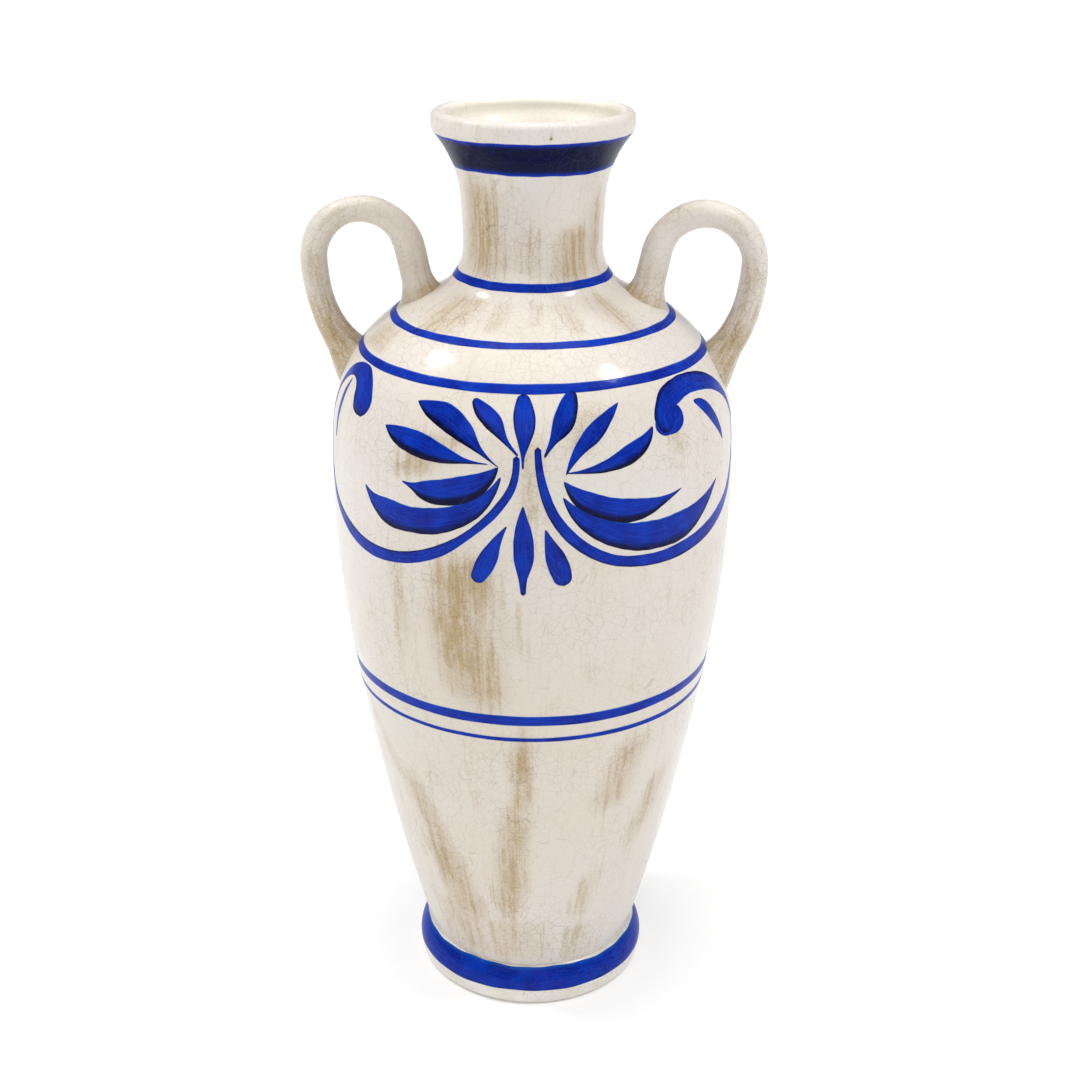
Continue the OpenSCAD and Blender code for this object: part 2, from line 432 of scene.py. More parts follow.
def foot(material):
    """The foot ring, with a softened resting edge and a small ledge where the body rises from it."""
    edge = 0.8 * MM
    base = foot_r(edge * 1.2)
    z = heights(1.2 * edge, FOOT_TOP - 0.4 * MM, 0.5 * MM)
    outline = [
        (RECESS_R + edge, 0),
        (base - 3 * edge, 0),
        (base - 1.2 * edge, 0.15 * MM),
        (base - 0.35 * edge, 0.4 * MM),
        *zip(foot_r(z), z),
        (foot_r(FOOT_TOP) - 0.25 * MM, FOOT_TOP),
        (outer_r(FOOT_TOP) - 0.4 * MM, FOOT_TOP + 0.15 * MM),
        (outer_r(FOOT_TOP) - 2 * MM, FOOT_TOP - 2 * MM),
        (RECESS_R + 2 * MM, RECESS_Z + 1 * MM),
        (RECESS_R + 0.3 * MM, RECESS_Z),
        (RECESS_R, RECESS_Z - 0.5 * MM),
        (RECESS_R, edge),
        (RECESS_R + 0.3 * edge, 0.25 * edge),
    ]
    obj = lathe("foot", outline, True)
    return finish_piece(obj, material, ["foot_ring"])


# ---------------------------------------------------------------- handles

LOOP_X, LOOP_Z, LOOP_R = 64.8, 303.6, 18.6    # middle and radius of the round top, in mm
LEAN = 12            # how far the inner leg leans, in degrees
OUTER_ARC = 62       # radius of the outer leg's bend, in mm
OUTER_BEND = 30      # how far it bends, in degrees
INNER_LEG = 22       # straight ends of the coil, in mm, which run on into the clay
OUTER_LEG = 19
COIL_RADII = {0: 5.9, 0.16: 5.7, 0.42: 5.05, 0.62: 5.3, 0.8: 5.6, 1: 6.3}    # in mm, by share of the length
COIL_COLUMNS = 48
FLARE = 2.6 * MM     # how far the coil spreads where it meets the wall
INNER_REACH = 8 * MM     # how far from the wall the flare begins, at the inner end and at the outer one
OUTER_REACH = 13 * MM
FADE = 6 * MM        # how deep in the clay the flare ends


def direction(angle):
    """A step of length 1 at an angle from the X axis."""
    return np.array([math.cos(angle), math.sin(angle)])


def coil_line():
    """The middle of the right handle's coil in the XZ plane.

    It starts inside the shoulder, goes over the loop and down the outer leg, and ends inside the clay.
    """
    quarter = math.pi / 2
    loop = np.array([LOOP_X, LOOP_Z])
    start = math.radians(180 - LEAN)
    inner_top = loop + LOOP_R * direction(start)
    line = [inner_top + s * direction(start + quarter) for s in np.arange(INNER_LEG, 0, -0.9)]
    line += [loop + LOOP_R * direction(a) for a in np.arange(start, 0, -math.radians(3.2))]
    bend_middle = loop + (LOOP_R - OUTER_ARC) * direction(0)
    bend = math.radians(OUTER_BEND)
    line += [bend_middle + OUTER_ARC * direction(-a) for a in np.arange(0, bend, 0.012)]
    last = bend_middle + OUTER_ARC * direction(-bend)
    line += [last + s * direction(-bend - quarter) for s in np.arange(0, OUTER_LEG, 0.7)]
    return np.array(line) * MM


def clearance(points):
    """Distance of points from the vase's outside, negative within the clay."""
    r, z = np.hypot(points[..., 0], points[..., 1]), points[..., 2]
    return (r - outer_r(z)) / np.sqrt(1 + slope_at(z, 0.5 * MM)**2)


def wall_normal(points):
    """The direction straight out of the vase's wall beside each point."""
    r = np.hypot(points[..., 0], points[..., 1])
    fall = -slope_at(points[..., 2], 0.5 * MM)
    normal = np.stack([points[..., 0] / r, points[..., 1] / r, fall], -1)
    return normal / np.linalg.norm(normal, axis=-1)[..., None]


def coil_rings(line, length, side):
    """Rings of points round the coil's middle line, a little uneven, and their places on a straight rod."""
    tangent = np.gradient(line, axis=0)
    tangent /= np.linalg.norm(tangent, axis=1)[:, None]
    out = np.stack([-tangent[:, 1], tangent[:, 0]], -1)
    share = length / length[-1]
    radius = np.interp(share, list(COIL_RADII), list(COIL_RADII.values())) * MM
    radius = radius + 0.14 * MM * np.sin(17 * share + side) + 0.08 * MM * np.sin(41 * share)
    angle = np.linspace(0, 2 * np.pi, COIL_COLUMNS, endpoint=False)
    across, depth = np.cos(angle)[None, :], np.sin(angle)[None, :]
    ring = radius[:, None] * (1 + 0.03 * np.cos(2 * angle + 5 * share[:, None]))
    x = line[:, :1] + ring * across * out[:, :1]
    z = line[:, 1:] + ring * across * out[:, 1:]
    points = np.stack([x, ring * depth, z], -1)
    rod = np.stack([radius[:, None] * across, radius[:, None] * depth, length[:, None] + 0 * across], -1)
    return points, rod


def flared(points, line, share):
    """The coil's points, spread out along the wall where they meet it, as pressed clay is."""
    middle = np.stack([line[:, 0], 0 * line[:, 0], line[:, 1]], -1)[:, None, :]
    away = points - middle
    away /= np.linalg.norm(away, axis=-1)[..., None]
    outer_end = share[:, None] > 0.5
    tail = np.where(outer_end, 1 + 1.5 * np.clip(-away[..., 2], 0, 1), 1)
    gap = clearance(points)
    reach = np.where(outer_end, OUTER_REACH, INNER_REACH)
    near = np.clip(1 - gap / reach, 0, 1) * np.clip(1 + gap / FADE, 0, 1)
    normal = wall_normal(points)
    lift = np.maximum(np.sum(away * normal, axis=-1), 0)
    away -= normal * (lift * near)[..., None]
    return points + away * (FLARE * near**2.2 * tail)[..., None]


def handle_wash(points, side):
    """The umber on a handle: in the crevices at its ends, low on the outer leg, and in faint flecks."""
    crevice = bell(np.maximum(clearance(points), 0) / (11 * MM))
    low = np.clip((300 * MM - points[:, 2]) / (26 * MM), 0, 1)
    low = low * (np.abs(points[:, 0]) > LOOP_X * MM)
    flecks = 0.26 + 0.20 * np.sin(points[:, 2] * 210 + 2 * side) * np.sin(points[:, 0] * 160)
    return np.clip(np.maximum(np.maximum(0.8 * crevice, 0.95 * low), flecks), 0, 1)


def handle(name, side, material, nodes):
    """One bent coil with flared ends, on the right (side 1) or the left (-1)."""
    line = coil_line()
    length = lengths(line)
    points, rod = coil_rings(line, length, side)
    points = flared(points, line, length / length[-1])
    points[..., 0] *= side
    rows = len(line)
    ends = [[row * COIL_COLUMNS + j for j in range(COIL_COLUMNS)] for row in (0, rows - 1)]
    obj = clay_object(name, points, grid_faces(rows, COIL_COLUMNS, False, True) + ends)
    point_values(obj, "wash_and_inside_light", handle_wash(vertices(obj), side))
    point_values(obj, "brushed", rod, "FLOAT_VECTOR")
    return finish_piece(obj, material, nodes)


# ---------------------------------------------------------------- painted pieces

def ribbon(points_at, rows, columns, loop, lift):
    """A thin closed skin on the surface: a raised top, soft edges and a back that lies inside the clay.

    points_at(u, v, lift) gives points for u from -1 to 1 across and v from 0 to 1 along.
    """
    v, u = np.meshgrid(
        np.linspace(0, 1, rows, endpoint=not loop),
        np.sin(np.linspace(-1, 1, columns) * np.pi / 2),
        indexing="ij",
    )
    height = lift * (0.35 + 0.65 * np.clip((1 - np.abs(u)) / 0.15, 0, 1))
    top = points_at(u, v, height)
    back = points_at(u[:, ::-1], v, -SUNK)
    points = np.concatenate([top, back], 1)
    values = np.stack([u, v], -1)
    values = np.concatenate([values, values[:, ::-1]], 1)
    faces = grid_faces(rows, 2 * columns, loop, True)
    if not loop:
        for row in (0, rows - 1):
            low = row * 2 * columns
            high = low + 2 * columns - 1
            faces += [[low + j, low + j + 1, high - 1 - j, high - j] for j in range(columns - 1)]
    return points, values, faces


def joined(name, parts, material, nodes=()):
    """One object from several painted skins, with the values that its material reads."""
    points, faces, values, start = [], [], [], 0
    for part_points, part_faces, part_values in parts:
        points.append(part_points.reshape(-1, 3))
        values.append(part_values.reshape(-1, 3))
        faces += [[i + start for i in face] for face in part_faces]
        start += len(points[-1])
    obj = new_object(name, np.concatenate(points), faces)
    point_values(obj, "paint", np.concatenate(values), "FLOAT_VECTOR")
    clean(obj, 60)
    return finish_piece(obj, material, nodes)


def painted_band(name, node, z0, z1, material, seed, waver=0.22, radius=outer_r,
                 pooled=0.35, thin_edge=1.0):
    """A ring between two heights in mm, laid on with a loaded brush while the vase turned.

    Its edges waver by about waver mm. pooled: how dark its edges are. thin_edge: how light its upper edge is.
    """
    z0, z1 = z0 * MM, z1 * MM

    def points_at(u, v, lift):
        phi = 2 * np.pi * v
        low = np.sin(3 * phi + seed) + 0.6 * np.sin(7 * phi + 2 * seed) + 0.35 * np.sin(19 * phi + 3 * seed)
        high = np.sin(2 * phi + 2.4 * seed) + 0.6 * np.sin(8 * phi - seed) + 0.35 * np.sin(23 * phi + seed)
        bottom = z0 + 0.5 * waver * MM * low
        top = z1 + 0.5 * waver * MM * high
        z = (bottom + top) / 2 + u * (top - bottom) / 2
        return on_surface(phi, z, lift, radius)

    points, values, faces = ribbon(points_at, 480, 13, True, BAND_LIFT)
    pool = pooled * np.clip((np.abs(values[..., 0]) - 0.45) / 0.55, 0, 1) ** 2
    pool = pool - thin_edge * np.clip((values[..., 0] - 0.62) / 0.38, 0, 1)
    across = values[..., 0] * (z1 - z0) / 2
    data = np.stack([across / MM, values[..., 1] * 400, pool], -1)
    return joined(name, [(points, faces, data)], material, [node])


def eased(count, total):
    """Distances along a stroke, closer together towards its two ends."""
    share = np.linspace(0, 1, count)
    return total * (share - 0.9 * np.sin(2 * np.pi * share) / (2 * np.pi) * min(1, 12 / total))


def rounded(distance, reach):
    """1 inside a stroke, falling to 0 along a quarter circle over the reach before its end."""
    return np.sqrt(np.clip(1 - np.clip(1 - distance / reach, 0, 1) ** 2, 0, 1))


def pooled_paint(u, v, total, shade, shade_side):
    """Where a stroke's colour pooled: at its edges, towards its dark side and at its tips.

    It is below 0 on the other edge, where the colour is thin.
    """
    edge = np.clip((np.abs(u) - 0.5) / 0.5, 0, 1) ** 2
    leaning = np.clip((u * np.sign(shade_side) - 0.05) / 0.75, 0, 1)
    leaning = abs(shade_side) * leaning * leaning * (3 - 2 * leaning)
    tip = np.clip(1 - v * total / 4.0, 0, 1) ** 2 + np.clip(1 - (1 - v) * total / 6.0, 0, 1) ** 2
    thin_edge = 0.8 * np.clip((-u * np.sign(shade_side) - 0.84) / 0.16, 0, 1)
    return np.clip(shade * edge + leaning + 0.7 * tip, 0, 1) - (1 + shade) * thin_edge


def brush_stroke(path, half, seed, shade, shade_side, turn, mirror, ends, lift):
    """One stroke of the brush.

    path: (bearing, height) of a few points along its middle. half: half its width in mm at those points.
    ends: how far, in mm, each end is rounded off. shade: how dark the pooled colour is, and shade_side the
    edge it leans to. turn and mirror carry the stroke to another place round the vase.
    """
    flat = [(math.radians(mirror * a + turn) * BELLY_R, z, w) for (a, z), w in zip(path, half)]
    line = spline(flat, 14)
    tangent = np.gradient(line[:, :2], axis=0)
    tangent /= np.linalg.norm(tangent, axis=1)[:, None] + 1e-9
    stretch = outer_r(line[:, 1] * MM) / (BELLY_R * MM)
    steps = np.hypot(np.diff(line[:, 0]) * stretch[1:], np.diff(line[:, 1]))
    length = np.concatenate([[0], np.cumsum(steps)])
    total = length[-1]
    count = int(np.clip(total / 0.9, 24, 260))
    at = eased(count, total)
    phi = np.interp(at, length, line[:, 0]) / BELLY_R
    z = np.interp(at, length, line[:, 1]) * MM
    tangent_x = np.interp(at, length, tangent[:, 0])
    tangent_z = np.interp(at, length, tangent[:, 1])
    hand = 1 + 0.010 * np.sin(at * 1.1 + seed) + 0.015 * np.sin(at * 0.37 + 2 * seed)
    w = np.interp(at, length, line[:, 2]) * rounded(at, ends[0]) * rounded(total - at, ends[1]) * hand
    w = np.maximum(w, 0.04) * MM
    rows = np.arange(count)

    def points_at(u, v, lift):
        index = v * (count - 1)
        width = np.interp(index, rows, w)
        bearing = np.interp(index, rows, phi)
        height = np.interp(index, rows, z)
        r = outer_r(height)
        lean = np.sqrt(1 + slope_at(height, MM)**2)
        dx = np.interp(index, rows, tangent_x) * r / (BELLY_R * MM)
        dz = np.interp(index, rows, tangent_z) * lean
        size = np.hypot(dx, dz) + 1e-9
        return on_surface(bearing - u * width * dz / size / r, height + u * width * dx / size / lean, lift)

    columns = 11 if max(half) < 3 else 15
    points, values, faces = ribbon(points_at, count, columns, False, lift)
    u, v = values[..., 0], values[..., 1]
    pool = pooled_paint(u, v, total, shade, shade_side)
    across = u * np.interp(v * (count - 1), rows, w) / MM
    data = np.stack([across + seed * 7, v * total + seed * 31, pool], -1)
    return points, faces, data


# The narrow bands: piece, CAD node, lower and upper edge in mm, and the seed of their wavering edges.
PLAIN_BANDS = [
    ("band_belly_low", "lower_belly_band", 136.5, 138.4, 2.3),
    ("band_belly_high", "upper_belly_band", 143.9, 148.1, 3.9),
    ("band_shoulder_low", "lower_shoulder_band", 271.5, 274.4, 5.2),
    ("band_shoulder_high", "upper_shoulder_band", 283.8, 285.6, 0.6),
    ("band_neck", "neck_band", 298.5, 301.4, 4.4),
]

# The motif's strokes on the front. Each: path, half widths, pooled edges, dark side, rounded ends.
CENTRE_LEAVES = [
    ([(0.7, 271.6), (1.1, 267), (1.4, 262), (1.3, 256), (1.1, 252), (1.1, 247.2)],
     [1.4, 3.4, 3.9, 2.1, 0.8, 0.4], 0.9, 0, (1.0, 0.6)),
    ([(-13.8, 269.4), (-11.3, 266.6), (-7.4, 262.6), (-3.7, 256.7), (-0.2, 251.8)],
     [0.9, 2.7, 3.2, 1.1, 0.4], 0.5, -0.7, (0.8, 0.6)),
    ([(15.7, 272.2), (14, 267.6), (12.1, 262.4), (8.9, 256.2), (6.7, 251.2)],
     [1.4, 3.4, 3.9, 1.3, 0.4], 0.4, 0.6, (1.0, 0.6)),
    ([(1.2, 233.8), (1.1, 229), (1.3, 222), (1.4, 213), (1.2, 206), (1.3, 199.6)],
     [0.2, 1.8, 3.4, 3.5, 1.6, 1.0], 0.4, 0, (0.6, 1.2)),
    ([(-3, 226.2), (-5.4, 221), (-8, 213.4), (-10.1, 207.7), (-11.6, 204)],
     [0.2, 1.6, 3.4, 3.1, 2.0], 0.4, -0.2, (0.6, 1.6)),
    ([(7, 225.2), (8, 220.6), (10, 213), (11.4, 207.6), (12.1, 203.2)],
     [0.2, 1.7, 3.8, 3.7, 2.6], 0.4, 0.2, (0.6, 2.6)),
]
LEFT_LEAVES = [
    ([(-31.4, 266.2), (-27, 264.7), (-21.2, 262.8), (-15.5, 258.6), (-10.6, 253), (-5.3, 247.6)],
     [0.2, 3.0, 4.6, 3.9, 1.2, 0.2], 0.3, -0.75, (0.6, 0.6)),
    ([(-41, 255.8), (-36.6, 254), (-28.5, 252.1), (-21, 250.2), (-14, 248.9), (-8.1, 248.5)],
     [0.2, 3.1, 4.5, 3.3, 0.9, 0.2], 0.3, -1.0, (0.6, 0.6)),
    ([(-33.2, 237.6), (-30.2, 236.8), (-26.6, 236.0), (-18.6, 237.0), (-11.6, 240.4), (-5.4, 247.6)],
     [0.3, 1.2, 3.4, 5.0, 4.3, 0.3], 0.4, -1.0, (0.6, 0.6)),
    ([(-47.8, 231.4), (-45.2, 228.2), (-40, 225), (-30, 223.9), (-18.4, 227.1), (-10.4, 233.2),
      (-4.7, 244.2)],
     [0.3, 1.9, 4.7, 5.0, 4.5, 2.9, 0.3], 0.3, -0.6, (0.6, 0.8)),
    ([(-66.6, 264.5), (-68.6, 257), (-69.4, 249), (-69.6, 241)], [0.3, 1.4, 1.1, 0.2], 0.5, 0, (0.6, 0.6)),
]
RIGHT_LEAVES = [
    ([(29.2, 267.2), (25, 263.2), (20.4, 258.3), (16.2, 253.3), (12.4, 244.8)],
     [0.2, 2.1, 3.3, 2.1, 0.2], 0.5, 0.2, (0.6, 0.6)),
    ([(38.8, 257.8), (36.2, 254), (30.4, 249.8), (23.6, 246.9), (17, 245.7), (12.6, 245.5)],
     [0.3, 2.3, 3.5, 2.3, 0.8, 0.2], 0.3, 0.9, (0.6, 0.6)),
    ([(11.6, 236.8), (16, 229.2), (25, 221.6), (39.4, 217.9), (51.5, 219.4), (58.4, 223.4), (65.4, 229.8)],
     [0.2, 2.6, 4.5, 5.7, 5.2, 2.9, 0.2], 0.4, -0.6, (0.6, 0.8)),
    ([(11.8, 242.6), (16, 236.4), (25.8, 230.2), (34.9, 229.1), (42, 230.6), (47.8, 232.8)],
     [0.2, 3.2, 4.6, 3.8, 1.4, 0.2], 0.4, -1.0, (0.6, 0.6)),
    ([(57.6, 261.6), (62.4, 258.4), (66.4, 252.6), (70.8, 243)], [0.4, 2.5, 2.3, 0.2], 0.5, 0.3, (0.6, 0.6)),
]
LEFT_SCROLL = [
    ([(-0.7, 251.8), (-1.6, 241), (-5.6, 232.2), (-13, 222.2), (-22.4, 213.5), (-34, 208), (-46.4, 206.9),
      (-60, 211.6), (-70.6, 220), (-76.4, 234), (-77.6, 248), (-76, 259), (-70.8, 266), (-64, 268.1),
      (-58, 265.8), (-54.8, 260.4), (-53, 254.8)],
     [1.2, 1.4, 1.6, 1.5, 2.2, 2.3, 2.6, 2.5, 1.9, 1.2, 0.8, 1.4, 2.2, 3.4, 5.6, 6.5, 5.0],
     0.5, -0.3, (1.2, 4.6)),
]
RIGHT_SCROLL = [
    ([(39.8, 256.8), (43.4, 257.8), (47, 259.2), (50.4, 261.8)], [3.2, 4.9, 5.7, 4.2], 0.3, 0, (3.6, 4.4)),
    ([(5, 254.8), (6.2, 241.4), (9.6, 229.2), (16, 218.9), (24.8, 211.7), (36.4, 208.7), (50.6, 209.4),
      (65, 213.8), (76, 221.4), (82.6, 233), (84.4, 246), (80.4, 256.2), (72.6, 263.6), (62, 267.3),
      (52.5, 267.2), (46.2, 264.2), (44.2, 259.8), (44.5, 254.4)],
     [1.1, 1.6, 2.0, 2.2, 2.1, 2.3, 2.8, 2.8, 2.2, 1.4, 1.1, 1.8, 3.0, 3.8, 4.1, 4.8, 5.2, 4.6],
     0.6, -0.3, (1.2, 4.6)),
]
MOTIF = {
    "centre_leaves": CENTRE_LEAVES,
    "left_leaves": LEFT_LEAVES,
    "right_leaves": RIGHT_LEAVES,
    "left_scroll": LEFT_SCROLL,
    "right_scroll": RIGHT_SCROLL,
}
# Where the motif is painted: side of the vase, a seed for each group of strokes, turn, and mirror.
FACES = [
    ("front", (0.3, 1.9, 3.1, 4.7, 5.3), 0, 1),
    ("back", (6.1, 7.2, 8.4, 9.5, 10.6), 180, -1),
]


def motif_piece(name, strokes, material, seed, turn, mirror):
    """One group of the motif's strokes, turned and mirrored to its side of the vase."""
    parts = []
    for i, (path, half, shade, side, ends) in enumerate(strokes):
        lift = PAINT_LIFT + i % 3 * LAYER
        parts.append(brush_stroke(path, half, seed + 1.7 * i, shade, side * mirror, turn, mirror, ends, lift))
    return joined(name, parts, material)


# ---------------------------------------------------------------- materials

class Nodes:
    """Short names for the shader nodes that the glazes share."""

    def __init__(self, name):
        self.material = bpy.data.materials.new(name)
        self.material.use_nodes = True
        self.tree = self.material.node_tree
        self.tree.nodes.clear()
        self.output = self.tree.nodes.new("ShaderNodeOutputMaterial")
        self.shader = self.tree.nodes.new("ShaderNodeBsdfPrincipled")
        self.tree.links.new(self.shader.outputs[0], self.output.inputs["Surface"])
        self.place = self.tree.nodes.new("ShaderNodeTexCoord").outputs["Object"]

    def add(self, kind):
        """A new node."""
        return self.tree.nodes.new(kind)

    def wire(self, source, target):
        """Joins an output to an input."""
        self.tree.links.new(source, target)

    def stretch(self, source, scale):
        """Coordinates times a scale for each axis."""
        node = self.add("ShaderNodeMapping")
        node.inputs["Scale"].default_value = scale
        self.wire(source, node.inputs["Vector"])
        return node.outputs[0]

    def noise(self, source, scale, detail=3.0, rough=0.55):
        """Cloudy noise from 0 to 1 round 0.5."""
        node = self.add("ShaderNodeTexNoise")
        node.inputs["Scale"].default_value = scale
        node.inputs["Detail"].default_value = detail
        node.inputs["Roughness"].default_value = rough
        self.wire(source, node.inputs["Vector"])
        return node

    def math(self, kind, a, b=0.0):
        """One sum on two values, each a number or an output."""
        node = self.add("ShaderNodeMath")
        node.operation = kind
        for socket, value in zip(node.inputs, (a, b)):
            if isinstance(value, (int, float)):
                socket.default_value = value
            else:
                self.wire(value, socket)
        return node.outputs[0]

    def weighted(self, *terms):
        """The sum of several outputs, each times its own weight."""
        parts = [self.math("MULTIPLY", value, weight) for value, weight in terms]
        total = parts[0]
        for part in parts[1:]:
            total = self.math("ADD", total, part)
        return total

    def spread(self, value, low, high, to_low=0.0, to_high=1.0):
        """Maps low..high onto to_low..to_high, smoothly, and keeps to those limits."""
        node = self.add("ShaderNodeMapRange")
        node.interpolation_type = "SMOOTHSTEP"
        node.inputs["From Min"].default_value = low
        node.inputs["From Max"].default_value = high
        node.inputs["To Min"].default_value = to_low
        node.inputs["To Max"].default_value = to_high
        self.wire(value, node.inputs["Value"])
        return node.outputs[0]

    def contrast(self, noise, half):
        """A noise stretched so that what lies within half of its middle fills 0 to 1."""
        return self.spread(noise.outputs[0], 0.5 - half, 0.5 + half)

    def blend(self, share, a, b):
        """Colour a where the share is 0 and colour b where it is 1."""
        node = self.add("ShaderNodeMix")
        node.data_type = "RGBA"
        first, second = [s for s in node.inputs if s.name in "AB" and s.type == "RGBA"]
        for socket, value in ((node.inputs["Factor"], share), (first, a), (second, b)):
            if isinstance(value, (int, float)):
                socket.default_value = value
            elif isinstance(value, tuple):
                socket.default_value = (*value, 1)
            else:
                self.wire(value, socket)
        return [s for s in node.outputs if s.type == "RGBA"][0]

    def read(self, name):
        """The values that the mesh carries under a name."""
        node = self.add("ShaderNodeAttribute")
        node.attribute_name = name
        return node

    def crackle(self, size, width, seed):
        """1 on the fine cracks of the glaze, 0 between them.

        size is a cell's width in mm, and width a crack's.
        """
        warp = self.noise(self.place, 420 / size, 2.0)
        moved = self.add("ShaderNodeVectorMath")
        moved.operation = "MULTIPLY_ADD"
        self.wire(warp.outputs["Color"], moved.inputs[0])
        moved.inputs[1].default_value = (0.35 * size * MM,) * 3
        self.wire(self.place, moved.inputs[2])
        shifted = self.add("ShaderNodeVectorMath")
        shifted.operation = "ADD"
        self.wire(moved.outputs[0], shifted.inputs[0])
        shifted.inputs[1].default_value = (seed, 0.3 * seed, 0.7 * seed)
        cells = self.add("ShaderNodeTexVoronoi")
        cells.feature = "DISTANCE_TO_EDGE"
        cells.inputs["Scale"].default_value = 1 / (size * MM)
        self.wire(shifted.outputs[0], cells.inputs["Vector"])
        return self.spread(cells.outputs["Distance"], 0.25 * width / size, 1.1 * width / size, 1.0, 0.0)

    def relief(self, height, strength, distance):
        """A bump on the shader's normal."""
        node = self.add("ShaderNodeBump")
        node.inputs["Strength"].default_value = strength
        node.inputs["Distance"].default_value = distance
        self.wire(height, node.inputs["Height"])
        self.wire(node.outputs[0], self.shader.inputs["Normal"])
        return node


def gloss(nodes, roughness, coat, level):
    """A glazed shine: the base's roughness and specular level, and how much clear coat lies on it."""
    shader = nodes.shader
    shader.inputs["Roughness"].default_value = roughness
    shader.inputs["IOR"].default_value = 1.5
    shader.inputs["Specular IOR Level"].default_value = level
    shader.inputs["Coat Weight"].default_value = coat
    shader.inputs["Coat Roughness"].default_value = 0.06
    shader.inputs["Coat IOR"].default_value = 1.5


CREAM = (0.74, 0.675, 0.580)
PALE = (0.78, 0.725, 0.670)
COOL = (0.74, 0.735, 0.680)
# The lighter cream inside the vase is painted light, lifting the shaded hollow.
INSIDE_PAINTED_LIGHT = (0.92, 0.87, 0.76)
UMBER = (0.43, 0.295, 0.115)
DARK_UMBER = (0.20, 0.12, 0.045)
THIN_BLUE = (0.004, 0.15, 0.55)
CRACK_BLUE = (0.12, 0.16, 0.5)
FOOT_GLAZE = (0.86, 0.83, 0.77)
FOOT_STAINED = (0.78, 0.72, 0.62)
DRY_CLAY = (0.42, 0.36, 0.29)
# Each painted colour: where it is thin, where it is thick, at its edges, and its faint tinge.
COBALT = ((0.001, 0.042, 0.48), (0.001, 0.008, 0.20), (0.001, 0.002, 0.030), (0.014, 0.004, 0.25))
NAVY = ((0.001, 0.004, 0.045), (0.001, 0.002, 0.016), (0.001, 0.030, 0.42), (0.004, 0.002, 0.04))


def crack_marks(n):
    """Two sizes of crackle, which show here and there more than elsewhere."""
    coarse = n.crackle(4.3, 0.11, 0.31)
    fine = n.crackle(2.2, 0.09, 1.7)
    where = n.spread(n.noise(n.place, 34, 3).outputs[0], 0.36, 0.66)
    coarse = n.math("MULTIPLY", coarse, n.math("ADD", 0.35, n.math("MULTIPLY", where, 0.6)))
    fine = n.math("MULTIPLY", fine, n.math("MULTIPLY", where, 0.55))
    return n.math("MAXIMUM", coarse, fine)


def glaze_relief(n, cracks):
    """A faintly dimpled glaze, broken by its cracks."""
    swell = n.noise(n.place, 120, 2.0).outputs[0]
    height = n.math("SUBTRACT", n.math("MULTIPLY", swell, 0.5), n.math("MULTIPLY", cracks, 0.35))
    bump = n.relief(height, 0.4, 0.25 * MM)
    n.wire(bump.outputs[0], n.shader.inputs["Coat Normal"])


def cream_tones(n, wash_and_inside_light):
    """Uneven warm cream on the outside, and inside, where the read value is below 0, a lighter cream that is
    painted light on the shaded hollow.
    """
    tone = n.spread(n.noise(n.place, 9, 3).outputs[0], 0.3, 0.7)
    colour = n.blend(tone, CREAM, PALE)
    cool = n.spread(n.noise(n.place, 14, 2).outputs[0], 0.5, 0.75, 0.0, 0.5)
    colour = n.blend(cool, colour, COOL)
    # The lighter cream inside is painted light on the shaded hollow.
    return n.blend(n.spread(wash_and_inside_light, -0.4, 0.0, 1.0, 0.0), colour, INSIDE_PAINTED_LIGHT)


def bristle_marks(n):
    """A grainy pattern from 0 to 1 that is drawn out along the brush's way."""
    brushed = n.read("brushed").outputs["Vector"]
    hairs = n.contrast(n.noise(n.stretch(brushed, (900, 900, 30)), 1.0, 3.0, 0.6), 0.16)
    strands = n.contrast(n.noise(n.stretch(brushed, (260, 260, 22)), 1.0, 4.0, 0.6), 0.14)
    patches = n.contrast(n.noise(n.stretch(brushed, (120, 120, 62)), 1.0, 4.0, 0.65), 0.14)
    grain = n.contrast(n.noise(n.place, 1100, 3.0, 0.7), 0.16)
    return n.weighted((hairs, 0.20), (strands, 0.32), (patches, 0.28), (grain, 0.20))


def ivory_glaze():
    """Warm ivory crackle glaze with an umber wash that was brushed on, nearly dry, in soft grainy streaks,
    and a lighter cream inside that is painted light.
    """
    n = Nodes("ivory_glaze")
    wash_and_inside_light = n.read("wash_and_inside_light").outputs["Fac"]
    colour = cream_tones(n, wash_and_inside_light)
    level = n.weighted((n.math("SUBTRACT", bristle_marks(n), 0.5), 0.85), (wash_and_inside_light, 0.72))
    film = n.spread(level, 0.10, 0.96, 0.0, 0.88)
    haze = n.spread(wash_and_inside_light, 0.06, 1.0, 0.0, 0.40)
    colour = n.blend(n.math("MAXIMUM", film, haze), colour, UMBER)
    specks = n.spread(n.noise(n.place, 900, 2.0, 0.6).outputs[0], 0.60, 0.74)
    specks = n.math("MULTIPLY", specks, n.math("ADD", 0.06, n.math("MULTIPLY", wash_and_inside_light, 0.22)))
    colour = n.blend(specks, colour, DARK_UMBER)
    colour = n.blend(n.spread(wash_and_inside_light, 1.0, 1.35), colour, DARK_UMBER)
    cracks = crack_marks(n)
    in_cracks = n.math("MULTIPLY", cracks, n.math("ADD", 0.27, n.math("MULTIPLY", wash_and_inside_light, 0.36)))
    colour = n.blend(in_cracks, colour, DARK_UMBER)
    n.wire(colour, n.shader.inputs["Base Color"])
    gloss(n, 0.28, 0.26, 0.13)
    glaze_relief(n, cracks)
    return n.material


